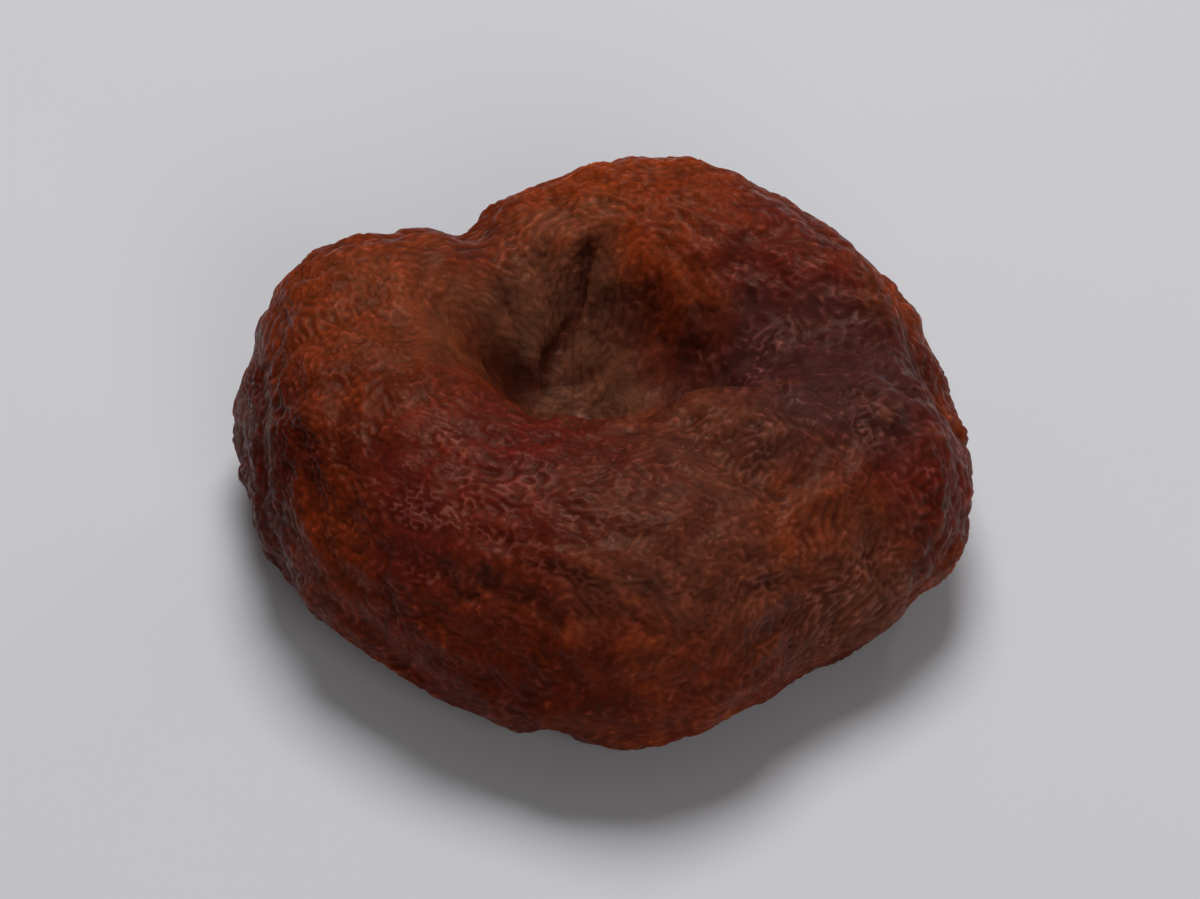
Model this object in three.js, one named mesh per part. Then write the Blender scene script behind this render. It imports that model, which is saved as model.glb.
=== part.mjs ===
// A whole dried apricot, stoned and pressed flat, lying with its dimple up.
// It is one piece of leathery flesh: a fat rolled rim round a funnel-shaped dimple, with a shallow
// valley running out to the right, a low saddle at the back left where the suture crosses the rim,
// creases that run down into the dimple, and skin that has shrunk into puffy wrinkles all over.
// X runs left to right, Y from the front to the back, and Z up from the small flat spot it rests on.
import * as THREE from "three";
import { mergeVertices } from "three/addons/utils/BufferGeometryUtils.js";
import { ImprovedNoise } from "three/addons/math/ImprovedNoise.js";

// Driving dimensions, in millimetres. The finished fruit is exactly this wide, long and high.
const WIDTH = 39;
const LENGTH = 37;
const HEIGHT = 14.4;
const WAIST_HEIGHT = 5.4; // the widest line round the rim
const BELLY_DEPTH = 5.8; // underside below the waist, before it is flattened
const DIMPLE_DEPTH = 6.4;
const DIMPLE_X = -1.6; // the dimple lies a little to the left and behind the middle
const DIMPLE_Y = 2.4;
const FLAT_EASE = 0.3; // height over which the underside eases into the flat spot
const LUMP_HEIGHT = 0.5; // broad swellings that the pressing left
const WRINKLE_HEIGHT = 0.5; // crest of a wrinkle above the creases beside it

// Shape factors of a section through the rim: over 0.5 the face is dished, under it domed.
const CROWN_DISH = 0.85;
const BELLY_DISH = 0.4;
const CROWN_FILL = 0.86; // height over the waist at the fruit's heart, if it had no dimple

// The skin is a geodesic grid of 20 * GRID * GRID triangles.
const GRID = 24;

// Swellings and hollows round the rim: where they lie, how wide they are, and the share by which
// they push the outline out and lift the crown. Azimuth 0 is the right side and 90 the back.
const LOBES = [
  { at: -130, spread: 24, outline: -0.03, crown: 0.06 }, // front left, cut off straight
  { at: -84, spread: 22, outline: 0.05, crown: 0.12 }, // front, the fattest part
  { at: -50, spread: 22, outline: -0.1, crown: 0.0 }, // front right, cut off straight
  { at: 4, spread: 24, outline: 0.0, crown: -0.08 }, // right, where the valley runs out
  { at: 40, spread: 24, outline: -0.04, crown: 0.04 }, // back right shoulder
  { at: 72, spread: 22, outline: 0.05, crown: 0.1 }, // back crown
  { at: 121, spread: 19, outline: -0.08, crown: -0.2 }, // saddle at the back left
  { at: 155, spread: 19, outline: 0.12, crown: 0.16 }, // left shoulder
  { at: 202, spread: 24, outline: 0.02, crown: 0.08 }, // left cheek
];

// The dimple's wall: how far it reaches from the middle, in degrees of polar angle, and how
// steeply it falls. Both change round the compass: it is steep at the front left and easy behind.
const DIMPLE_REACH = 15.5;
const DIMPLE_STEEPNESS = 2.2;
const DIMPLE_SIDES = [
  { at: -5, spread: 40, reach: 6.5, steep: -0.2 },
  { at: 92, spread: 40, reach: 4.5, steep: -0.2 },
  { at: 215, spread: 50, reach: 1.5, steep: 1.8 },
  { at: -70, spread: 35, reach: -0.5, steep: 1.2 },
];

// Creases and valleys. Each follows an azimuth, bending by "swing" degrees as it runs from polar
// angle "from" to polar angle "to", measured from the dimple. Widths and depths are in millimetres.
const FOLDS = [
  { at: 6, swing: 5, from: 12, to: 88, width: 3.6, depth: 1.6 }, // valley out to the right
  { at: 116, swing: -32, from: 8, to: 27, width: 0.9, depth: 1.0 }, // long crease down the back wall
  { at: 122, swing: -3, from: 30, to: 88, width: 1.3, depth: 0.9 }, // suture, over the saddle
  { at: 119, swing: -4, from: 82, to: 150, width: 1.6, depth: 0.8 }, // and on under the fruit
  { at: 58, swing: -8, from: 9, to: 26, width: 0.9, depth: 0.5 },
  { at: 30, swing: 12, from: 10, to: 40, width: 1.1, depth: 0.6 },
  { at: 160, swing: 8, from: 6, to: 30, width: 0.9, depth: 0.7 },
  { at: 198, swing: -10, from: 7, to: 27, width: 0.8, depth: 0.7 },
  { at: -122, swing: 8, from: 8, to: 26, width: 0.9, depth: 0.6 },
  { at: -64, swing: 18, from: 14, to: 60, width: 1.5, depth: 0.8 }, // over the front lip
  { at: -160, swing: 10, from: 84, to: 150, width: 1.4, depth: 0.8 }, // puckers of the underside
  { at: -98, swing: -12, from: 96, to: 152, width: 1.3, depth: 0.8 },
  { at: -30, swing: 8, from: 88, to: 150, width: 1.5, depth: 0.8 },
  { at: 40, swing: -10, from: 94, to: 150, width: 1.3, depth: 0.8 },
];
const FOLD_FADE = 9; // degrees over which a fold starts and ends
const FOLD_SHOULDER = 0.15; // share of its depth by which a fold's banks are puffed up
const SHOULDER_SPREAD = 2.24; // width of the banks, in widths of the fold

// Wrinkles, in cells round the rim's radius and per radian from pole to pole.
const WRINKLES_ROUND = 2.3;
const WRINKLES_ALONG = 4.4;
const WRINKLE_WARP = 0.55;
const WARP_RATIO = 1.3;
const WARP_START = 17.9;
const FINE_RATIO = 2.1;
const FINE_SHARE = 0.35;
const WRINKLE_MIDDLE = 0.5; // share of a wrinkle's height that lies under the plain skin
const LUMPS = 2.1; // lumps per radius of the fruit
const LUMP_START = new THREE.Vector3(8.4, 2.6, 0);

// Wrinkles fade out at the dimple's floor, between these distances from the fruit's axis on the
// unit sphere. All relief fades out at the flat spot, between these heights on it.
const GATHER_START = 0.05;
const GATHER_END = 0.35;
const PRESSED_START = -0.98;
const PRESSED_END = -0.8;

const noise = new ImprovedNoise();

// The signed angle from one azimuth to another, in radians, the short way round.
function turn(azimuth, degreesAt) {
  const away = azimuth - THREE.MathUtils.degToRad(degreesAt);
  return away - 2 * Math.PI * Math.round(away / (2 * Math.PI));
}

// The sum of a list's values at an azimuth, each weighted by a bell round its own azimuth.
function roundTheRim(list, azimuth, key) {
  return list.reduce((sum, lobe) => {
    const away = turn(azimuth, lobe.at) / THREE.MathUtils.degToRad(lobe.spread);
    return sum + lobe[key] * Math.exp(-away * away);
  }, 0);
}

// The fruit before it creases and wrinkles. A direction from its heart becomes a point of its skin.
function plainPoint(direction) {
  const up = direction.z;
  const out = Math.hypot(direction.x, direction.y);
  const azimuth = Math.atan2(direction.y, direction.x);
  const outline = 1 + roundTheRim(LOBES, azimuth, "outline");
  const shift = up > 0 ? up * up * (3 - 2 * up) : 0;
  const x = DIMPLE_X * shift + (WIDTH / 2) * outline * direction.x;
  const y = DIMPLE_Y * shift + (LENGTH / 2) * outline * direction.y;
  if (up < 0) {
    return new THREE.Vector3(x, y, WAIST_HEIGHT + BELLY_DEPTH * up * (1 + BELLY_DISH * out * out));
  }
  const reach = DIMPLE_REACH + roundTheRim(DIMPLE_SIDES, azimuth, "reach");
  const steepness = DIMPLE_STEEPNESS + roundTheRim(DIMPLE_SIDES, azimuth, "steep");
  const polar = THREE.MathUtils.radToDeg(Math.acos(Math.min(1, up)));
  const dimple = DIMPLE_DEPTH * Math.exp(-((polar / reach) ** steepness));
  const lift = 1 + roundTheRim(LOBES, azimuth, "crown") * out;
  const crown = (HEIGHT - WAIST_HEIGHT) * CROWN_FILL * lift * up * (1 + CROWN_DISH * out * out);
  return new THREE.Vector3(x, y, WAIST_HEIGHT + crown - dimple);
}

// How deep the folds cut, in millimetres. Their banks are puffed up a little.
function foldDepth(direction) {
  const polar = THREE.MathUtils.radToDeg(Math.acos(THREE.MathUtils.clamp(direction.z, -1, 1)));
  const azimuth = Math.atan2(direction.y, direction.x);
  const girth = (Math.hypot(direction.x, direction.y) * WIDTH) / 2;
  return FOLDS.reduce((sum, fold) => {
    const share = THREE.MathUtils.clamp((polar - fold.from) / (fold.to - fold.from), 0, 1);
    const aside = (turn(azimuth, fold.at + fold.swing * share) * girth) / fold.width;
    const starts = THREE.MathUtils.smoothstep(polar, fold.from - FOLD_FADE / 2, fold.from + FOLD_FADE / 2);
    const ends = THREE.MathUtils.smoothstep(polar, fold.to - FOLD_FADE, fold.to);
    const cut = Math.exp(-(aside ** 2)) - FOLD_SHOULDER * Math.exp(-((aside / SHOULDER_SPREAD) ** 2));
    return sum + fold.depth * starts * (1 - ends) * cut;
  }, 0);
}

// Puffy wrinkles with sharp creases between them, from 0 in a crease to about 1 on a crest. They are
// counted round the rim and from pole to pole, so they run round the rim and gather into the dimple.
function puff(direction, ratio) {
  const azimuth = Math.atan2(direction.y, direction.x);
  const place = new THREE.Vector3(
    WRINKLES_ROUND * Math.cos(azimuth),
    WRINKLES_ROUND * Math.sin(azimuth),
    WRINKLES_ALONG * Math.acos(THREE.MathUtils.clamp(direction.z, -1, 1)),
  ).multiplyScalar(ratio);
  const warped = place.clone().multiplyScalar(WARP_RATIO);
  const bend = WRINKLE_WARP * noise.noise(warped.y + WARP_START, warped.z, warped.x);
  return 2 * Math.abs(noise.noise(place.x + bend, place.y - bend, place.z + 2 * bend));
}

// How far the lumps and wrinkles stand out of the plain fruit, in millimetres.
function relief(direction) {
  const lumps = noise.noise(...LUMP_START.clone().addScaledVector(direction, LUMPS));
  const fromAxis = Math.hypot(direction.x, direction.y);
  const gathered = THREE.MathUtils.smoothstep(fromAxis, GATHER_START, GATHER_END);
  const pressed = THREE.MathUtils.smoothstep(direction.z, PRESSED_START, PRESSED_END);
  const wrinkles = puff(direction, 1) + FINE_SHARE * puff(direction, FINE_RATIO) - WRINKLE_MIDDLE;
  return pressed * (LUMP_HEIGHT * lumps + WRINKLE_HEIGHT * gathered * wrinkles);
}

// The underside is flattened into a small spot at height 0, with its edge eased.
function settle(z) {
  if (z > FLAT_EASE) {
    return z;
  }
  return z < -FLAT_EASE ? 0 : (z + FLAT_EASE) ** 2 / (4 * FLAT_EASE);
}

function makeSkin() {
  const ball = new THREE.IcosahedronGeometry(1, GRID - 1);
  ball.deleteAttribute("normal");
  ball.deleteAttribute("uv");
  const skin = mergeVertices(ball, 1e-5);
  const points = skin.getAttribute("position");
  const directions = Array.from({ length: points.count }, (_, i) =>
    new THREE.Vector3().fromBufferAttribute(points, i).normalize(),
  );
  directions.forEach((direction, i) => points.setXYZ(i, ...plainPoint(direction)));
  skin.computeVertexNormals();
  const normals = skin.getAttribute("normal");
  directions.forEach((direction, i) => {
    const normal = new THREE.Vector3().fromBufferAttribute(normals, i);
    const point = new THREE.Vector3().fromBufferAttribute(points, i);
    point.addScaledVector(normal, relief(direction) - foldDepth(direction));
    points.setXYZ(i, point.x, point.y, settle(point.z));
  });
  skin.computeBoundingBox();
  const size = skin.boundingBox.getSize(new THREE.Vector3());
  const middle = skin.boundingBox.getCenter(new THREE.Vector3());
  skin.translate(-middle.x, -middle.y, 0);
  skin.scale(WIDTH / size.x, LENGTH / size.y, HEIGHT / size.z);
  skin.computeVertexNormals();
  return skin;
}

const driedSkin = new THREE.MeshStandardMaterial({
  color: new THREE.Color(0.14, 0.026, 0.012),
  roughness: 0.5,
  metalness: 0,
});

const fruit = new THREE.Mesh(makeSkin(), driedSkin);
fruit.name = "apricot";

const apricot = new THREE.Group();
apricot.add(fruit);

export default apricot;
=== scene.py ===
"""A whole dried apricot, stoned and pressed flat, lying dimple up on a plain pale floor.

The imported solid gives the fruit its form. Here its skin is split finer, and wrinkles grow over it in two
sizes: puffy folds, and winding fine ridges between narrow creases. They run round the rim, turn into the
dimple and fan out along the valley on the right. Each blotch of colour has its own place on the fruit.

Lengths on the skin are in millimetres and angles in degrees, unless a comment says otherwise. A pair of
numbers that says where something fades is its start and its end.
"""

import math

import bmesh
import bpy
import numpy as np
from bpy.props import FloatProperty, FloatVectorProperty, IntProperty, PointerProperty
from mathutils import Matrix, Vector


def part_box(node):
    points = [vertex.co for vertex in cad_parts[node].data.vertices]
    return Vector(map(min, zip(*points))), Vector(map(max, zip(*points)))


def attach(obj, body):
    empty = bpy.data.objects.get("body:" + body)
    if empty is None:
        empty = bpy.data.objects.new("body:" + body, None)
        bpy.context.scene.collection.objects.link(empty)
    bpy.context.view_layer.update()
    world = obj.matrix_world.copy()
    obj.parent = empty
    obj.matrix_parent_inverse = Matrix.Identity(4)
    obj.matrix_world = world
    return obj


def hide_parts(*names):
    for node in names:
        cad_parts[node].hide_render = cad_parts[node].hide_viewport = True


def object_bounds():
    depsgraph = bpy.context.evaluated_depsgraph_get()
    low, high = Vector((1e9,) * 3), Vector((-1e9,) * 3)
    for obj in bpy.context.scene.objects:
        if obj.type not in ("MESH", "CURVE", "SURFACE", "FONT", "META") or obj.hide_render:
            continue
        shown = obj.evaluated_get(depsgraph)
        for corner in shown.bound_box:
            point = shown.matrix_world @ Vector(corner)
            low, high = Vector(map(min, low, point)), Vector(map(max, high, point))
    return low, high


bl_info = {
    "name": "Dried Apricot",
    "version": (1, 0, 0),
    "blender": (4, 5, 0),
    "location": "View3D > Sidebar > Apricot",
    "description": "The wrinkled skin of a whole dried apricot, and a plain studio to see it in",
    "category": "Add Mesh",
}

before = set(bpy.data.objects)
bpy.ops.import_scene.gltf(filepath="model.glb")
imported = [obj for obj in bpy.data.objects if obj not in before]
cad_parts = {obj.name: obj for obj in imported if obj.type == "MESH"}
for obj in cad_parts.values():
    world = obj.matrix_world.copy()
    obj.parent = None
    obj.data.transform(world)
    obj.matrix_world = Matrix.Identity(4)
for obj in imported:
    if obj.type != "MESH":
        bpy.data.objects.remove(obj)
CAD_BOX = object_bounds()

MM = 0.001
TINY = 1e-9  # keeps a length from being divided by nothing
MERGE_DISTANCE = 0.001 * MM
NOISE_MIDDLE = 0.5  # what a noise texture's values lie round
FRUIT_NODE = "apricot"

# Places seen from above are shares of half the fruit's width and half its length, from its middle.
DIMPLE_PLACE = (-0.08, 0.16)

# Creases: the places that each runs through, its width and its depth. The depth sinks the skin and also sets
# the painted shade in the crease.
CREASES = [
    # The long one and two that cross it, in the dimple's wall.
    ([(-0.03, 0.52), (-0.06, 0.43), (-0.12, 0.31), (-0.15, 0.22)], 0.3, 0.5),
    ([(0.17, 0.31), (0.06, 0.3), (-0.06, 0.24)], 0.35, 0.2),
    ([(-0.29, 0.48), (-0.24, 0.36), (-0.2, 0.24)], 0.3, 0.25),
    # Two pockets at the dimple's foot, sunk deep and darkened with painted shade.
    ([(0.02, 0.37), (0.1, 0.37)], 1.1, 0.7),
    ([(-0.26, 0.2), (-0.22, 0.2)], 1.1, 0.6),
    # Across the front, where the skin drapes over the rim.
    ([(-0.31, -0.73), (-0.23, -0.77), (-0.15, -0.81), (-0.11, -0.85)], 0.4, 0.3),
    ([(-0.42, -0.68), (-0.37, -0.74), (-0.32, -0.76)], 0.35, 0.25),
    ([(-0.17, -0.72), (-0.11, -0.76), (-0.06, -0.79)], 0.35, 0.2),
    ([(-0.48, -0.54), (-0.43, -0.57), (-0.38, -0.54)], 0.35, 0.2),
]
CREASE_HEIGHTS = (6.0, 7.0)  # over the floor, so that none marks the underside

# The wrinkles' run. They run round the rim, but down into the dimple within this distance of its middle,
# and along the valley within this angle of it. Within this angle of the left side, at the cheek, they are
# drawn out less by this share, and look granular.
DIMPLE_EDGE = (6.0, 9.0)
VALLEY_AZIMUTH = 4
VALLEY_EDGE = (28, 50)
VALLEY_HEIGHTS = (5.0, 7.0)
CHEEK_EDGE = (30, 60)
CHEEK_SHARE = 0.75

# Slow waves by which the run strays, in radians, and by which the wrinkles' spacing changes, as a share.
# Each has the distance between its waves.
WIDE_STRAY, WIDE_STRAY_PITCH = 0.6, 14
NEAR_STRAY, NEAR_STRAY_PITCH = 0.5, 4
GAUGE_CHANGE, GAUGE_PITCH = 0.25, 7

# How ridges grow. The blurs' widths are in pitches.
ROUNDS = 16
NEAR_BLUR = 0.17
FAR_BLUR = 0.24
LAST_BLUR = 0.12
SHARPNESS = 1.6
CREST_PERCENTILE = 97  # the values that count as the top of a crest

# A blur goes in steps. Each is this share of the longest that stays steady at most of the points.
STEP_SHARE = 0.9
STEADY_PERCENTILE = 98

# How loose the skin is: pressed flat by the floor, gathered tight in the dimple, and loose in patches.
PRESSED_LEAST, PRESSED_HEIGHTS = 0.5, (0.1, 1.5)
GATHERED_LEAST, GATHERED_EDGE = 0.45, (3.0, 9.0)
WIDE_PATCHES, WIDE_PATCH_PITCH = 0.25, 9
SMALL_PATCHES, SMALL_PATCH_PITCH = 0.2, 3
PATCH_MIDDLE = 0.75
PATCH_LIMITS = (0.2, 1.3)

FOLD_STRETCH = 0.6  # how far folds are drawn out, as a share of the fine wrinkles' stretch
LIP_WIDTH = 1.4  # width of the lips, turned tan partly as drier skin and partly as a painted highlight, and of the hollows, darkened with painted shade


def length_setting(name, description, default, least=0.0):
    """A setting that is a length, given here in millimetres."""
    return FloatProperty(
        name=name, description=description, default=default * MM, min=least * MM, unit="LENGTH", precision=5
    )


def colour_setting(name, description, default):
    """A setting that is a colour."""
    return FloatVectorProperty(name=name, description=description, subtype="COLOR", default=default)


def power_setting(name, description, default):
    """A setting that is a light's power, in watts."""
    return FloatProperty(name=name, description=description, default=default, min=0.0, unit="POWER")


class SkinSettings(bpy.types.PropertyGroup):
    """How the skin has shrunk over the solid."""

    fold_width: length_setting("Fold Width", "Distance from one puffy fold to the next", 2.5, 1.0)
    fold_height: length_setting("Fold Height", "Height of a puffy fold above the hollows beside it", 0.26)
    wrinkle_width: length_setting("Wrinkle Width", "Distance from one fine wrinkle to the next", 0.62, 0.5)
    wrinkle_height: length_setting("Wrinkle Height", "Height of a fine wrinkle above its creases", 0.13)
    stretch: FloatProperty(
        name="Stretch",
        description="How much more a wrinkle spreads along its run than across it",
        default=3.0,
        min=0.0,
        max=12.0,
    )
    easing: IntProperty(
        name="Easing",
        description="Rounds of blurring that take the solid's flat faces out of the skin",
        default=8,
        min=0,
        max=40,
    )
    grain_size: length_setting("Grain Size", "Size of the finest crinkles on the skin", 0.5, 0.1)
    grain_height: length_setting("Grain Height", "Height of the finest crinkles on the skin", 0.05)
    seed: IntProperty(
        name="Seed",
        description="Start of the patterns that the wrinkles grow from",
        default=5,
        min=0,
    )


class ColourSettings(bpy.types.PropertyGroup):
    """The colours of the dried skin, and of the shade, highlights and glints painted on it."""

    rust: colour_setting("Rust", "Most of the skin", (0.125, 0.018, 0.006))
    ember: colour_setting("Ember", "Glowing orange patches", (0.23, 0.034, 0.006))
    # On the lips, tan is partly drier skin and partly a painted highlight.
    tan: colour_setting("Tan", "Drier, paler brown patches and lips", (0.14, 0.04, 0.018))
    umber: colour_setting("Umber", "Greyish brown at the front right", (0.115, 0.033, 0.018))
    crimson: colour_setting("Crimson", "Red blush", (0.105, 0.01, 0.0065))
    plum: colour_setting("Plum", "Greyish purple of the valley", (0.055, 0.015, 0.0145))
    olive: colour_setting("Olive", "Brown of the dimple", (0.13, 0.047, 0.025))
    # Garnet is the skin's deep red, and also painted shade in the low blotches at the left and front.
    garnet_and_shade: colour_setting("Garnet", "Deep red where the skin is darkest", (0.062, 0.0045, 0.0015))
    # The crease colour is painted shade, laid into the hollows and creases and low down towards the floor.
    crease_and_shade: colour_setting("Crease", "Dark skin down in the creases", (0.045, 0.008, 0.004))
    # The crest colour goes into a painted highlight along the tops of the wrinkles.
    crest_highlight: colour_setting("Crest", "Dry skin along the tops of the wrinkles", (0.23, 0.065, 0.04))
    # The bloom colour is partly sugar bloom and partly painted glints.
    bloom_and_glint: colour_setting("Bloom", "Pale streaks on the wrinkles", (0.25, 0.085, 0.066))


class StageSettings(bpy.types.PropertyGroup):
    """The floor, the lights and the camera."""

    floor_colour: colour_setting("Floor Colour", "Colour of the plain floor", (0.68, 0.705, 0.78))
    floor_width: FloatProperty(
        name="Floor Width",
        description="Width of the floor",
        default=1.6,
        min=0.2,
        unit="LENGTH",
    )
    elevation: FloatProperty(
        name="Elevation",
        description="Height of the camera above the horizon",
        default=math.radians(45),
        subtype="ANGLE",
    )
    distance: FloatProperty(
        name="Distance",
        description="From the camera to the fruit",
        default=0.42,
        min=0.1,
        unit="LENGTH",
    )
    share: FloatProperty(
        name="Share of the Picture",
        description="Share of the picture's width that the fruit fills",
        default=0.62,
        min=0.05,
        max=1.0,
        subtype="FACTOR",
    )
    key_power: power_setting("Key Power", "Power of the soft light overhead", 1.6)
    fill_power: power_setting("Fill Power", "Power of the soft light in front", 0.8)
    rim_power: power_setting("Rim Power", "Power of the small light at the back right", 0.12)
    sky: FloatProperty(
        name="Sky",
        description="Strength of the light from all round",
        default=0.1,
        min=0.0,
    )


def rise(edge, value):
    """0 where value is under the edge's start, 1 where it is over its end, and a smooth rise between."""
    low, high = edge
    share = np.clip((value - low) / (high - low), 0, 1)
    return share * share * (3 - 2 * share)


def from_line(places, line):
    """How far places on a plan are from a line through several points."""
    nearest = np.full(len(places), np.inf)
    for start, end in zip(line[:-1], line[1:]):
        way = end - start
        share = np.clip((places - start) @ way / (way @ way), 0, 1)
        nearest = np.minimum(nearest, np.linalg.norm(places - start - share[:, None] * way, axis=1))
    return nearest


def sway(points, pitch, seed, waves=6):
    """A slow swell over space, mostly between -1 and 1: the sum of a few waves of about one pitch."""
    random = np.random.default_rng(seed)
    directions = random.normal(size=(waves, 3)) * 2 * math.pi / pitch
    starts = random.uniform(0, 2 * math.pi, waves)
    return np.sin(points @ directions.T + starts).sum(1) / (waves / 2)


def split_copy(solid):
    """A copy of an object's mesh as one skin, with each triangle split into four."""
    work = bmesh.new()
    work.from_mesh(solid.data)
    bmesh.ops.remove_doubles(work, verts=work.verts, dist=MERGE_DISTANCE)
    bmesh.ops.subdivide_edges(work, edges=work.edges, cuts=1, use_grid_fill=True)
    mesh = bpy.data.meshes.new("skin")
    work.to_mesh(mesh)
    work.free()
    return mesh


def read_skin(mesh):
    """The mesh's points in millimetres and its triangles, as arrays."""
    points = np.empty(3 * len(mesh.vertices))
    mesh.vertices.foreach_get("co", points)
    triangles = np.empty(3 * len(mesh.polygons), int)
    mesh.polygons.foreach_get("vertices", triangles)
    return points.reshape(-1, 3) / MM, triangles.reshape(-1, 3)


def write_values(mesh, name, values):
    """Keeps one number for each point of the mesh, under a name that the nodes read."""
    mesh.attributes.new(name, "FLOAT", "POINT").data.foreach_set("value", values.astype(np.float32))


class Skin:
    """The skin as a net along which values spread, faster along the wrinkles' run than across it.

    Each pattern draws its random numbers from a start of its own, a few numbers after the seed.
    """

    def __init__(self, mesh, stretch, seed):
        self.points, self.triangles = read_skin(mesh)
        self.count = len(self.points)
        low, high = self.points.min(0), self.points.max(0)
        self.half = (high - low) / 2
        self.middle = (high + low) / 2
        corners = self.points[self.triangles]
        centres = corners.mean(1)
        sides = np.roll(corners, -2, 1) - np.roll(corners, -1, 1)
        normals = np.cross(sides[:, 0], sides[:, 1])
        self.normals = self.gather(normals)
        doubled_areas = np.linalg.norm(normals, axis=1)
        normals /= doubled_areas[:, None]
        run, pull = self.run_of_wrinkles(centres, normals, stretch, seed)
        gauge = 1 + GAUGE_CHANGE * sway(centres, GAUGE_PITCH, seed + 7)
        across = np.cross(run, normals)
        slant = np.einsum("tij,tj->ti", sides, across)
        self.link(sides, slant, pull, gauge, doubled_areas)

    def gather(self, vectors):
        """The unit vector at each point of what its triangles hold."""
        corners = self.triangles.ravel()
        summed = np.stack([np.bincount(corners, np.repeat(axis, 3), self.count) for axis in vectors.T], 1)
        return summed / np.linalg.norm(summed, axis=1)[:, None]

    def from_dimple(self, points):
        """How far each point is to the right of the dimple's middle, and how far behind it."""
        return (points - self.middle)[:, :2] - np.array(DIMPLE_PLACE) * self.half[:2]

    def run_of_wrinkles(self, points, normals, stretch, seed):
        """Which way the wrinkles run on each triangle, and how strongly they are drawn out that way."""
        away = self.from_dimple(points)
        distance = np.linalg.norm(away, axis=1)
        azimuth = np.degrees(np.arctan2(away[:, 1], away[:, 0]))
        around = np.stack([-away[:, 1], away[:, 0], np.zeros(len(away))], 1)
        around -= normals * np.einsum("ij,ij->i", around, normals)[:, None]
        around /= np.linalg.norm(around, axis=1)[:, None] + TINY
        inward = np.cross(normals, around)
        in_dimple = 1 - rise(DIMPLE_EDGE, distance)
        beside_valley = 1 - rise(VALLEY_EDGE, np.abs(azimuth - VALLEY_AZIMUTH))
        in_valley = beside_valley * rise(VALLEY_HEIGHTS, points[:, 2])
        turn = np.maximum(in_dimple, in_valley) * math.pi / 2
        wide_stray = WIDE_STRAY * sway(points, WIDE_STRAY_PITCH, seed + 1)
        near_stray = NEAR_STRAY * sway(points, NEAR_STRAY_PITCH, seed + 2)
        turn += wide_stray + near_stray
        run = around * np.cos(turn)[:, None] + inward * np.sin(turn)[:, None]
        granular = 1 - rise(CHEEK_EDGE, np.abs(np.abs(azimuth) - 180))
        return run, stretch * (1 - CHEEK_SHARE * granular)

    def link(self, sides, slant, pull, gauge, doubled_areas):
        """How readily values pass between neighbours, and how much of the skin each point holds."""
        starts, ends, rates = [], [], []
        for first in range(3):
            second = (first + 1) % 3
            level = np.einsum("ij,ij->i", sides[:, first], sides[:, second])
            along = pull * slant[:, first] * slant[:, second]
            starts.append(self.triangles[:, first])
            ends.append(self.triangles[:, second])
            rates.append(-gauge * gauge * (level + along) / (2 * doubled_areas * (1 + pull) ** 0.5))
        start, end = np.concatenate(starts), np.concatenate(ends)
        keys = np.minimum(start, end) * self.count + np.maximum(start, end)
        keys, place = np.unique(keys, return_inverse=True)
        self.passes = np.maximum(np.bincount(place, np.concatenate(rates)), 0)
        self.start, self.end = keys // self.count, keys % self.count
        third_of_area = doubled_areas / 6
        self.held = np.bincount(self.triangles.ravel(), np.repeat(third_of_area, 3), self.count)
        at_start = np.bincount(self.start, self.passes, self.count)
        at_end = np.bincount(self.end, self.passes, self.count)
        self.quickness = (at_start + at_end) / self.held

    def blur(self, values, width):
        """Values spread out over a width."""
        longest_step = STEP_SHARE / np.percentile(self.quickness, STEADY_PERCENTILE)
        steps = max(1, math.ceil(width * width / 2 / longest_step))
        step = width * width / 2 / steps
        share = np.minimum(step, STEP_SHARE / self.quickness) / self.held
        for _ in range(steps):
            flow = self.passes * (values[self.end] - values[self.start])
            gain = np.bincount(self.start, flow, self.count) - np.bincount(self.end, flow, self.count)
            values = values + share * gain
        return values

    def standing_out(self, values, near_width, far_width):
        """Values with their finest detail blurred away, less their far surroundings."""
        near = self.blur(values, near_width)
        return near - self.blur(near, far_width)

    def ridges(self, pitch, seed):
        """Winding ridges one pitch apart, from about -1 in the creases to 1 on the crests.

        They grow out of noise. Each round keeps what is wider than the near blur and narrower than the
        far one, and evens out its height, which is how stripes of one width form by themselves.
        """
        values = np.random.default_rng(seed).normal(size=self.count)
        for _ in range(ROUNDS):
            values = self.standing_out(values, NEAR_BLUR * pitch, FAR_BLUR * pitch)
            values = np.tanh(SHARPNESS * values / values.std())
        values = self.standing_out(values, LAST_BLUR * pitch, FAR_BLUR * pitch)
        return values / np.percentile(values, CREST_PERCENTILE)

    def streaks(self, seed, short_width=0.35, long_width=1.1, long_share=0.8):
        """Patches drawn out along the wrinkles' run, mostly between -2 and 2."""
        noise = np.random.default_rng(seed).normal(size=self.count)
        short, long = self.blur(noise, short_width), self.blur(noise, long_width)
        return short / short.std() + long_share * long / long.std()

    def bulge(self, width):
        """How far the skin stands out of its surroundings: over 0 on a lip, under 0 in a hollow."""
        around = np.stack([self.blur(axis, width) for axis in self.points.T], 1)
        return np.einsum("ij,ij->i", self.points - around, self.normals)

    def looseness(self, seed):
        """How high the wrinkles stand, as a share of their full height."""
        distance = np.linalg.norm(self.from_dimple(self.points), axis=1)
        pressed = PRESSED_LEAST + (1 - PRESSED_LEAST) * rise(PRESSED_HEIGHTS, self.points[:, 2])
        gathered = GATHERED_LEAST + (1 - GATHERED_LEAST) * rise(GATHERED_EDGE, distance)
        wide = WIDE_PATCHES * sway(self.points, WIDE_PATCH_PITCH, seed)
        small = SMALL_PATCHES * sway(self.points, SMALL_PATCH_PITCH, seed + 1)
        return pressed * gathered * np.clip(PATCH_MIDDLE + wide + small, *PATCH_LIMITS)

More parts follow.
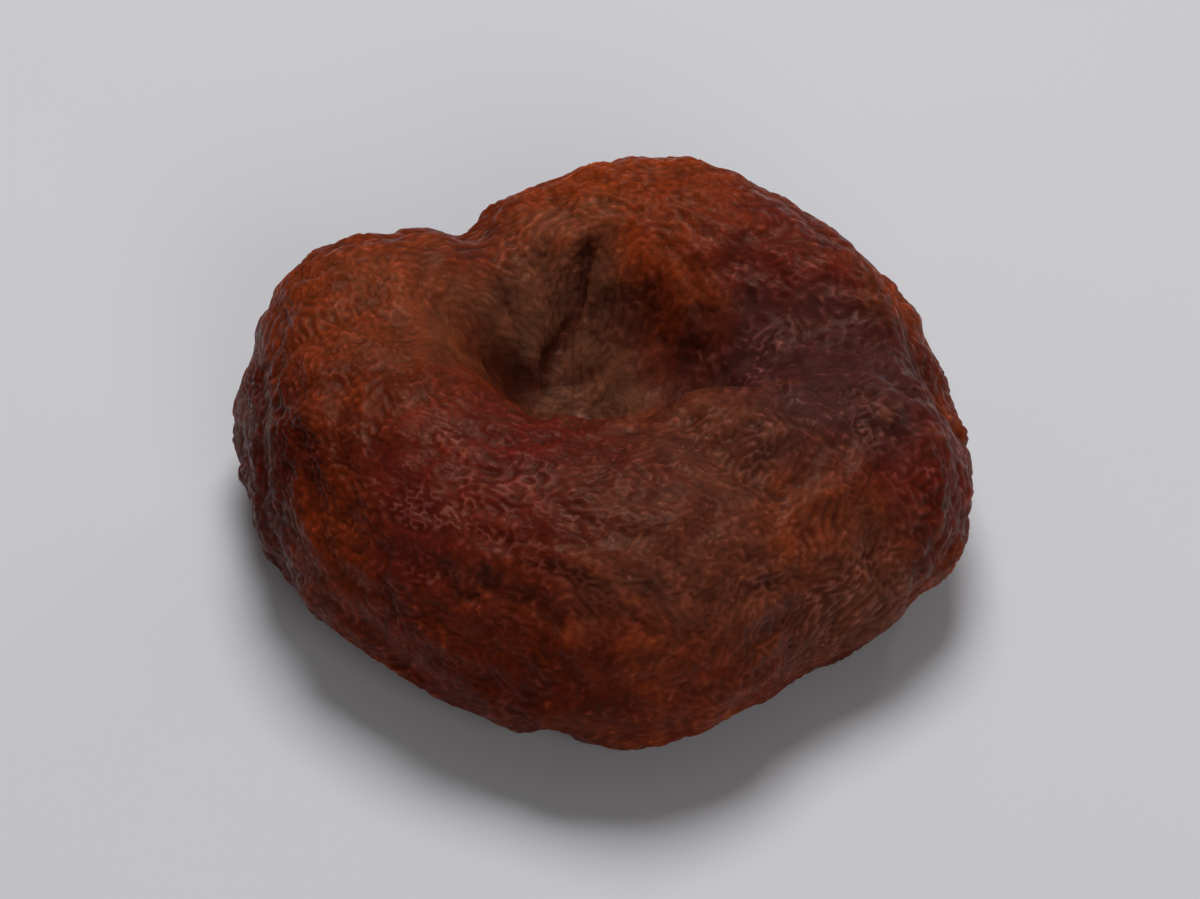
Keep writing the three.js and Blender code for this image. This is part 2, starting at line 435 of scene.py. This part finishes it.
    def creases(self):
        """How deep the listed creases cut."""
        places = (self.points - self.middle)[:, :2]
        depths = np.zeros(self.count)
        for line, width, depth in CREASES:
            away = from_line(places, np.array(line) * self.half[:2])
            depths = np.maximum(depths, depth * np.exp(-((away / width) ** 2)))
        return depths * rise(CREASE_HEIGHTS, self.points[:, 2])


def grow_folds(solid, settings):
    """A finer copy of the solid's mesh that holds, at each point, what the relief and the paint read."""
    coarse_mesh = split_copy(solid)
    coarse = Skin(coarse_mesh, FOLD_STRETCH * settings.stretch, settings.seed)
    write_values(coarse_mesh, "fold", coarse.ridges(settings.fold_width / MM, settings.seed))
    holder = bpy.data.objects.new("coarse skin", coarse_mesh)
    fine_mesh = split_copy(holder)
    bpy.data.objects.remove(holder)
    bpy.data.meshes.remove(coarse_mesh)
    fine = Skin(fine_mesh, settings.stretch, settings.seed)
    write_values(fine_mesh, "wrinkle", fine.ridges(settings.wrinkle_width / MM, settings.seed + 2))
    write_values(fine_mesh, "loose", fine.looseness(settings.seed + 3))
    write_values(fine_mesh, "bulge", fine.bulge(LIP_WIDTH))
    write_values(fine_mesh, "crease_and_shade", fine.creases())
    write_values(fine_mesh, "streak", fine.streaks(settings.seed + 4))
    return fine_mesh


def place_nodes(tree):
    """Lays a tree's nodes out in columns, each to the right of the last that feeds it."""
    column_width, row_height = 240, 260
    column = {}
    for _ in tree.nodes:
        for link in tree.links:
            wanted = column.get(link.from_node.name, 0) + 1
            column[link.to_node.name] = max(column.get(link.to_node.name, 0), wanted)
    rows = {}
    for node in tree.nodes:
        at = column.get(node.name, 0)
        node.location = (column_width * at, -row_height * rows.get(at, 0))
        rows[at] = rows.get(at, 0) + 1


class Nodes:
    """Adds nodes to a tree. A value given to an input is either a number or another node's output."""

    def __init__(self, tree):
        self.tree = tree

    def fill(self, socket, value):
        if isinstance(value, bpy.types.NodeSocket):
            self.tree.links.new(value, socket)
        else:
            socket.default_value = value

    def add(self, kind, inputs=None, output=0, **settings):
        node = self.tree.nodes.new(kind)
        for name, value in settings.items():
            setattr(node, name, value)
        for key, value in (inputs or {}).items():
            self.fill(node.inputs[key], value)
        return node.outputs[output]

    def math(self, operation, first, second=0.0):
        return self.add("ShaderNodeMath", {0: first, 1: second}, operation=operation)

    def vector(self, operation, first, second):
        return self.add("ShaderNodeVectorMath", {0: first, 1: second}, operation=operation)

    def scaled(self, vector, factor):
        return self.add("ShaderNodeVectorMath", {0: vector, "Scale": factor}, operation="SCALE")

    def fade(self, value, start, end, least=0.0, most=1.0):
        """A smooth change from least to most as value goes from start to end."""
        inputs = {"Value": value, "From Min": start, "From Max": end, "To Min": least, "To Max": most}
        return self.add("ShaderNodeMapRange", inputs, interpolation_type="SMOOTHSTEP")


def relief_height(make, given):
    """How far each point of the skin is raised, from the values that the mesh holds."""
    ridge_sharpness = 1.3
    ridge_middle = 0.35  # share of a fine wrinkle's height that lies under the plain skin
    fold_share = 0.5  # a fold's values go from -1 to 1, so half of them span its height

    def stored(name):
        return make.add("GeometryNodeInputNamedAttribute", {"Name": name}, data_type="FLOAT")

    # A fine wrinkle is a narrow ridge between broader hollows.
    ridge = make.math("POWER", make.fade(stored("wrinkle"), start=-1.0, end=1.1), ridge_sharpness)
    wrinkle = make.math("MULTIPLY", make.math("SUBTRACT", ridge, ridge_middle), given["Wrinkle Height"])
    fold = make.math("MULTIPLY", make.math("MULTIPLY", stored("fold"), fold_share), given["Fold Height"])
    grain_inputs = {
        "Vector": make.add("GeometryNodeInputPosition"),
        "W": given["Seed"],
        "Scale": make.math("DIVIDE", 1.0, given["Grain Size"]),
        "Detail": 1.0,
    }
    grain = make.add("ShaderNodeTexNoise", grain_inputs, noise_dimensions="4D")
    grain = make.math("MULTIPLY", make.math("SUBTRACT", grain, NOISE_MIDDLE), given["Grain Height"])
    height = make.math("ADD", make.math("ADD", wrinkle, fold), grain)
    height = make.math("MULTIPLY", height, stored("loose"))
    # The listed creases sink the skin by their depth.
    return make.math("SUBTRACT", height, make.math("MULTIPLY", stored("crease_and_shade"), MM))


def relief_tree():
    """The node tree that eases the solid's flat faces out of the skin and raises its relief."""
    tree = bpy.data.node_groups.new("skin relief", "GeometryNodeTree")
    inputs = {
        "Geometry": "NodeSocketGeometry",
        "Fold Height": "NodeSocketFloat",
        "Wrinkle Height": "NodeSocketFloat",
        "Easing": "NodeSocketInt",
        "Grain Size": "NodeSocketFloat",
        "Grain Height": "NodeSocketFloat",
        "Seed": "NodeSocketInt",
        "Skin": "NodeSocketMaterial",
    }
    for name, kind in inputs.items():
        tree.interface.new_socket(name, in_out="INPUT", socket_type=kind)
    tree.interface.new_socket("Geometry", in_out="OUTPUT", socket_type="NodeSocketGeometry")
    make = Nodes(tree)
    given = tree.nodes.new("NodeGroupInput").outputs
    place = make.add("GeometryNodeInputPosition")
    easing = {"Value": place, "Iterations": given["Easing"]}
    eased = make.add("GeometryNodeBlurAttribute", easing, data_type="FLOAT_VECTOR")
    rounded = make.add("GeometryNodeSetPosition", {"Geometry": given["Geometry"], "Position": eased})
    offset = make.scaled(make.add("GeometryNodeInputNormal"), relief_height(make, given))
    raised = make.add("GeometryNodeSetPosition", {"Geometry": rounded, "Offset": offset})

    # Nothing goes below the surface that the fruit rests on. The limits to the sides are far away.
    lowest = (-1.0, -1.0, 0.0)
    settled = make.vector("MAXIMUM", place, lowest)
    settled = make.add("GeometryNodeSetPosition", {"Geometry": raised, "Position": settled})
    shaded = make.add("GeometryNodeSetShadeSmooth", {"Geometry": settled})
    real = make.add("GeometryNodeRealizeInstances", {"Geometry": shaded})
    coloured = make.add("GeometryNodeSetMaterial", {"Geometry": real, "Material": given["Skin"]})
    end = tree.nodes.new("NodeGroupOutput")
    tree.links.new(coloured, end.inputs["Geometry"])
    place_nodes(tree)
    return tree


def apply_relief(mesh, settings, material):
    """A plain mesh of the skin with its relief raised."""
    carrier = bpy.data.objects.new("carrier", mesh)
    bpy.context.scene.collection.objects.link(carrier)
    modifier = carrier.modifiers.new("Relief", "NODES")
    modifier.node_group = relief_tree()
    values = {
        "Fold Height": settings.fold_height,
        "Wrinkle Height": settings.wrinkle_height,
        "Easing": settings.easing,
        "Grain Size": settings.grain_size,
        "Grain Height": settings.grain_height,
        "Seed": settings.seed,
        "Skin": material,
    }
    for item in modifier.node_group.interface.items_tree:
        if item.in_out == "INPUT" and item.name in values:
            modifier[item.identifier] = values[item.name]
    evaluated = carrier.evaluated_get(bpy.context.evaluated_depsgraph_get())
    raised = bpy.data.meshes.new_from_object(evaluated)
    bpy.data.objects.remove(carrier)
    bpy.data.meshes.remove(mesh)
    return raised


# Blotches of the skin, each painted over the last. Each lies round a place of the fruit, as shares of half
# its width, half its length and its whole height from the middle of its resting spot. Then come its size
# and its strength.
BLOTCHES = [
    # The first three garnet blotches, low at the left and the front, are painted shade.
    ("garnet_and_shade", (-0.8, -0.42, 0.5), 9.5, 0.95),
    ("garnet_and_shade", (-0.3, -0.95, 0.35), 9.0, 0.7),
    ("garnet_and_shade", (-0.92, 0.0, 0.6), 6.0, 0.75),
    ("tan", (-0.46, 0.22, 0.92), 6.0, 0.7),
    ("tan", (0.5, 0.82, 0.8), 5.0, 0.5),
    ("ember", (-0.65, 0.36, 0.93), 6.5, 0.5),
    ("ember", (-0.73, -0.5, 0.6), 5.0, 0.4),
    ("ember", (0.0, 0.76, 0.95), 7.0, 1.0),
    ("ember", (0.82, 0.56, 0.63), 5.0, 0.6),
    ("crimson", (-0.38, -0.52, 0.93), 7.5, 0.85),
    ("crimson", (-0.05, -0.38, 0.97), 6.5, 0.8),
    ("crimson", (0.32, 0.6, 0.97), 5.5, 0.8),
    ("crimson", (0.5, 0.44, 0.92), 5.0, 0.8),
    ("ember", (0.25, 0.64, 0.95), 5.0, 0.6),
    ("umber", (0.38, -0.3, 0.93), 7.0, 0.85),
    ("umber", (0.3, -0.68, 0.85), 7.0, 0.7),
    ("umber", (0.65, -0.62, 0.5), 7.0, 0.8),
    ("umber", (0.08, -0.62, 0.92), 6.0, 0.6),
    ("garnet_and_shade", (0.02, -0.5, 0.95), 5.5, 0.35),
    ("rust", (-0.36, -0.72, 0.75), 4.5, 0.5),
    ("ember", (0.53, -0.5, 0.78), 3.5, 0.4),
    ("crimson", (0.92, -0.2, 0.68), 5.0, 0.8),
    ("plum", (0.44, 0.2, 0.72), 5.5, 0.9),
    ("plum", (0.72, 0.08, 0.83), 6.5, 0.9),
    ("plum", (0.36, 0.04, 0.69), 5.5, 0.8),
    ("plum", (0.62, -0.1, 0.85), 6.0, 0.75),
    ("tan", (0.7, -0.6, 0.5), 3.5, 0.7),
    ("olive", (-0.1, 0.4, 0.74), 5.0, 0.85),
    ("olive", (-0.05, 0.25, 0.53), 5.0, 0.9),
    ("olive", (-0.3, 0.36, 0.7), 4.0, 0.7),
]
BLOTCH_START, BLOTCH_END = 1.15, 0.35  # where a blotch starts and is full, as shares of its size
BLOTCH_WANDER = 9.0  # how far ragged noise pulls a blotch's edge about

# The skin's pale streaks, partly sugar bloom and partly painted glints, are this strong everywhere, and up
# to full strength in these blotches.
BLOOM_AND_GLINT_LEAST = 0.25
BLOOM_AND_GLINT_PAINTS = ("crimson", "plum", "umber")

# The skin's finish: satin, slightly translucent, with a warm gloss.
SKIN_FINISH = {
    "Subsurface Weight": 0.25,
    "Subsurface Radius": (1.0, 0.25, 0.1),
    "Subsurface Scale": 1.6 * MM,
    "IOR": 1.45,
    "Specular IOR Level": 0.11,
    "Specular Tint": (1.0, 0.66, 0.48, 1.0),
}


class Paint(Nodes):
    """Nodes that paint the skin, on the object's own coordinates in millimetres.

    A noise's scale is the number of its patches in a millimetre.
    """

    def __init__(self, tree, colours):
        super().__init__(tree)
        self.colours = colours
        self.place = self.scaled(self.add("ShaderNodeTexCoord", output="Object"), 1 / MM)

    def of(self, name):
        return (*getattr(self.colours, name), 1.0)

    def stored(self, name):
        return self.add("ShaderNodeAttribute", output="Fac", attribute_name=name)

    def noise(self, scale, detail, output=0):
        inputs = {"Vector": self.place, "Scale": scale, "Detail": detail}
        return self.add("ShaderNodeTexNoise", inputs, output=output)

    def mix(self, factor, first, second, blend="MIX"):
        node = self.tree.nodes.new("ShaderNodeMix")
        node.data_type = "RGBA"
        node.blend_type = blend
        factor_input, first_input, second_input = node.inputs[0], node.inputs[6], node.inputs[7]
        self.fill(factor_input, factor)
        self.fill(first_input, first)
        self.fill(second_input, second)
        return node.outputs[2]


def paint_blotches(paint):
    """The skin's colour with its blotches, and how strong its pale streaks of sugar bloom and painted glints
    are.
    """
    orange = paint.fade(paint.noise(0.35, 5.0), start=0.36, end=0.64, most=0.5)
    red = paint.fade(paint.noise(0.5, 4.0), start=0.45, end=0.65, most=0.4)
    colour = paint.mix(orange, paint.of("rust"), paint.of("ember"))
    colour = paint.mix(red, colour, paint.of("garnet_and_shade"))
    low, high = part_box(FRUIT_NODE)
    half = Vector(((high.x - low.x) / 2, (high.y - low.y) / 2, high.z - low.z)) / MM
    ragged = paint.vector("SUBTRACT", paint.noise(0.22, 4.0, output="Color"), [NOISE_MIDDLE] * 3)
    wandering = paint.vector("ADD", paint.place, paint.scaled(ragged, BLOTCH_WANDER))
    bloom_and_glint_strength = BLOOM_AND_GLINT_LEAST
    for name, where, size, strength in BLOTCHES:
        centre = [share * reach for share, reach in zip(where, half)]
        ends = {0: wandering, 1: centre}
        away = paint.add("ShaderNodeVectorMath", ends, output="Value", operation="DISTANCE")
        cover = paint.fade(away, start=size * BLOTCH_START, end=size * BLOTCH_END, most=strength)
        colour = paint.mix(cover, colour, paint.of(name))
        if name in BLOOM_AND_GLINT_PAINTS:
            bloom_and_glint_strength = paint.math("MAXIMUM", bloom_and_glint_strength, cover)
    return colour, bloom_and_glint_strength


def paint_lips_and_hollow_shade(paint, colour):
    """The colour with lips turned tan, partly as drier skin and partly as a painted highlight, and painted
    shade in the hollows and creases.
    """
    darkest_shade = 0.85  # share of the painted shade's colour where the shades add up
    wrinkle, fold, bulge = paint.stored("wrinkle"), paint.stored("fold"), paint.stored("bulge")
    # Lips turn tan: partly drier skin, partly a painted highlight on their edges.
    colour = paint.mix(paint.fade(bulge, start=0.3, end=0.7, most=0.5), colour, paint.of("tan"))
    # Painted shade in the wrinkles' valleys, the folds' hollows, the hollows beside the lips and the listed
    # creases.
    painted_shades = [
        paint.fade(wrinkle, start=0.0, end=-1.0, most=0.4),
        paint.fade(fold, start=-0.2, end=-1.0, most=0.2),
        paint.fade(bulge, start=0.0, end=-0.3, most=0.2),
        paint.fade(paint.stored("crease_and_shade"), start=0.05, end=0.4, most=0.6),
    ]
    painted_shade = painted_shades[0]
    for shade in painted_shades[1:]:
        painted_shade = paint.math("ADD", painted_shade, shade)
    return paint.mix(paint.math("MINIMUM", painted_shade, darkest_shade), colour, paint.of("crease_and_shade"))


def paint_crest_highlights(paint, colour, bloom_and_glint_strength):
    """The colour with painted highlights on the crests, and with pale streaks along the wrinkles, partly
    sugar bloom and partly painted glints, strongest in the crimson, purple and umber blotches.
    """
    highlight_brightness = 2.0
    highlight_paint_share = 0.2
    wrinkle = paint.stored("wrinkle")
    # Painted highlight: the crests are painted about twice as bright, in flecks.
    highlight_flecks = paint.fade(paint.noise(1.6, 4.0), start=0.45, end=0.7)
    crest_highlight_cover = paint.math("MULTIPLY", paint.fade(wrinkle, start=0.35, end=1.0, most=0.8), highlight_flecks)
    highlighted = paint.scaled(colour, highlight_brightness)
    highlighted = paint.mix(highlight_paint_share, highlighted, paint.of("crest_highlight"))
    colour = paint.mix(crest_highlight_cover, colour, highlighted)
    # Pale streaks, partly sugar bloom and partly painted glints, on the wrinkles in the blotches listed for
    # them.
    streak = paint.fade(paint.stored("streak"), start=0.5, end=2.8, most=0.55)
    streak = paint.math("MULTIPLY", streak, bloom_and_glint_strength)
    streak = paint.math("MULTIPLY", streak, paint.fade(wrinkle, start=0.0, end=1.0))
    return paint.mix(streak, colour, paint.of("bloom_and_glint"))


def paint_low_shade_and_mottle(paint, colour):
    """The colour darkened towards the floor with painted shade, and mottled all over."""
    height = paint.add("ShaderNodeSeparateXYZ", {0: paint.place}, output="Z")
    # Painted shade towards the floor, from 4.5 mm high down to 0.5 mm.
    colour = paint.mix(paint.fade(height, start=4.5, end=0.5, most=0.45), colour, paint.of("crease_and_shade"))
    tone = paint.fade(paint.noise(0.8, 6.0), start=0.25, end=0.75, least=0.72, most=1.28)
    grey = paint.add("ShaderNodeCombineXYZ", {0: tone, 1: tone, 2: tone})
    return paint.mix(1.0, colour, grey, blend="MULTIPLY")


def skin_material(colours):
    """Dried apricot skin: blotches of rust, orange, crimson and grey purple, with painted shade in the
    creases and hollows, painted highlights on the crests and pale streaks partly of painted glints.
    """
    material = bpy.data.materials.new("dried skin")
    material.use_nodes = True
    tree = material.node_tree
    tree.nodes.clear()
    paint = Paint(tree, colours)
    colour, bloom_and_glint_strength = paint_blotches(paint)
    colour = paint_lips_and_hollow_shade(paint, colour)
    colour = paint_crest_highlights(paint, colour, bloom_and_glint_strength)
    colour = paint_low_shade_and_mottle(paint, colour)
    pores = paint.noise(5.0, 6.0)
    bump = paint.add("ShaderNodeBump", {"Height": pores, "Strength": 0.35, "Distance": 0.12 * MM})
    rough_patches = paint.fade(paint.noise(1.1, 4.0), start=0.3, end=0.7, least=0.28, most=0.52)
    smoother_crests = paint.math("MULTIPLY", paint.stored("wrinkle"), -0.05)
    skin = tree.nodes.new("ShaderNodeBsdfPrincipled")
    tree.links.new(colour, skin.inputs["Base Color"])
    tree.links.new(paint.math("ADD", rough_patches, smoother_crests), skin.inputs["Roughness"])
    tree.links.new(bump, skin.inputs["Normal"])
    for name, value in SKIN_FINISH.items():
        skin.inputs[name].default_value = value
    end = tree.nodes.new("ShaderNodeOutputMaterial")
    tree.links.new(skin.outputs[0], end.inputs["Surface"])
    place_nodes(tree)
    return material


class APRICOT_OT_grow_skin(bpy.types.Operator):
    """Grow the wrinkled skin over the fruit's solid"""

    bl_idname = "apricot.grow_skin"
    bl_label = "Grow Skin"

    def execute(self, context):
        settings = context.scene.apricot_skin
        material = skin_material(context.scene.apricot_colours)
        mesh = apply_relief(grow_folds(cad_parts[FRUIT_NODE], settings), settings, material)
        mesh.name = "apricot_skin"
        fruit = bpy.data.objects.new("apricot_skin", mesh)
        context.scene.collection.objects.link(fruit)
        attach(fruit, "root")
        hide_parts(FRUIT_NODE)
        return {"FINISHED"}


# The soft lights: where each stands and how wide it is, in metres, and its colour.
LIGHTS = {
    "key": (Vector((0.0, 0.18, 0.45)), 0.26, (1.0, 0.97, 0.92)),
    "fill": (Vector((0.15, -0.5, 0.35)), 0.3, (1.0, 0.95, 0.88)),
    "rim": (Vector((0.28, 0.36, 0.22)), 0.05, (1.0, 0.95, 0.88)),
}
SKY_COLOUR = (1.0, 0.98, 0.95, 1.0)
SENSOR_WIDTH = 36.0  # of the camera, in millimetres


def floor_material(colour):
    """A matt pale board with a trace of mottling."""
    material = bpy.data.materials.new("floor")
    material.use_nodes = True
    tree = material.node_tree
    board = tree.nodes["Principled BSDF"]
    make = Nodes(tree)
    place = make.add("ShaderNodeTexCoord", output="Object")
    mottle = make.add("ShaderNodeTexNoise", {"Vector": place, "Scale": 30.0, "Detail": 3.0})
    tone = make.fade(mottle, start=0.3, end=0.7, least=0.985, most=1.0)
    board.inputs["Roughness"].default_value = 0.75
    tree.links.new(make.scaled(tuple(colour), tone), board.inputs["Base Color"])
    place_nodes(tree)
    return material


def lay_floor(stage, height):
    """A square floor at a height."""
    reach = stage.floor_width / 2
    corners = [(-reach, -reach), (reach, -reach), (reach, reach), (-reach, reach)]
    mesh = bpy.data.meshes.new("floor")
    mesh.from_pydata([(x, y, height) for x, y in corners], [], [(0, 1, 2, 3)])
    floor = bpy.data.objects.new("floor", mesh)
    mesh.materials.append(floor_material(stage.floor_colour))
    bpy.context.scene.collection.objects.link(floor)


def set_light(name, power, target):
    """A round soft light, turned to a target, that the camera doesn't see."""
    place, size, tint = LIGHTS[name]
    light = bpy.data.lights.new(name, "AREA")
    light.shape = "DISK"
    light.size = size
    light.energy = power
    light.color = tint
    holder = bpy.data.objects.new(name, light)
    holder.location = place
    holder.rotation_euler = (target - place).to_track_quat("-Z", "Y").to_euler()
    holder.visible_camera = False
    bpy.context.scene.collection.objects.link(holder)


def set_sky(strength):
    """Plain light from all round."""
    world = bpy.data.worlds.new("studio")
    world.use_nodes = True
    sky = world.node_tree.nodes["Background"]
    sky.inputs["Color"].default_value = SKY_COLOUR
    sky.inputs["Strength"].default_value = strength
    bpy.context.scene.world = world
    bpy.context.scene.view_settings.view_transform = "Standard"


def set_camera(stage, target, width):
    """A camera in front of and above a target, where something of a width fills its share of the picture."""
    lens = bpy.data.cameras.new("camera")
    lens.sensor_width = SENSOR_WIDTH
    lens.lens = stage.share * lens.sensor_width * stage.distance / width
    lens.clip_start = 0.01
    camera = bpy.data.objects.new("camera", lens)
    back = Vector((0.0, -math.cos(stage.elevation), math.sin(stage.elevation)))
    camera.location = target + back * stage.distance
    camera.rotation_euler = (-back).to_track_quat("-Z", "Y").to_euler()
    bpy.context.scene.collection.objects.link(camera)
    bpy.context.scene.camera = camera


class APRICOT_OT_set_stage(bpy.types.Operator):
    """Lay the floor, and set the lights and the camera"""

    bl_idname = "apricot.set_stage"
    bl_label = "Set Stage"

    def execute(self, context):
        stage = context.scene.apricot_stage
        low, high = CAD_BOX
        middle = (low + high) / 2
        lay_floor(stage, low.z)
        set_light("key", stage.key_power, middle)
        set_light("fill", stage.fill_power, middle)
        set_light("rim", stage.rim_power, middle)
        set_sky(stage.sky)
        set_camera(stage, middle, high.x - low.x)
        return {"FINISHED"}


class APRICOT_PT_panel(bpy.types.Panel):
    """The fruit's and the stage's settings, with a button for each"""

    bl_idname = "APRICOT_PT_panel"
    bl_label = "Dried Apricot"
    bl_space_type = "VIEW_3D"
    bl_region_type = "UI"
    bl_category = "Apricot"

    def draw(self, context):
        column = self.layout.column()
        for settings in (context.scene.apricot_skin, context.scene.apricot_colours):
            for name in settings.__annotations__:
                column.prop(settings, name)
        column.operator(APRICOT_OT_grow_skin.bl_idname)
        for name in StageSettings.__annotations__:
            column.prop(context.scene.apricot_stage, name)
        column.operator(APRICOT_OT_set_stage.bl_idname)


CLASSES = (
    SkinSettings,
    ColourSettings,
    StageSettings,
    APRICOT_OT_grow_skin,
    APRICOT_OT_set_stage,
    APRICOT_PT_panel,
)


def register():
    for each in CLASSES:
        bpy.utils.register_class(each)
    bpy.types.Scene.apricot_skin = PointerProperty(type=SkinSettings)
    bpy.types.Scene.apricot_colours = PointerProperty(type=ColourSettings)
    bpy.types.Scene.apricot_stage = PointerProperty(type=StageSettings)


def unregister():
    del bpy.types.Scene.apricot_skin
    del bpy.types.Scene.apricot_colours
    del bpy.types.Scene.apricot_stage
    for each in reversed(CLASSES):
        bpy.utils.unregister_class(each)


def main():
    register()
    bpy.ops.apricot.grow_skin()
    bpy.ops.apricot.set_stage()


if __name__ == "__main__":
    main()
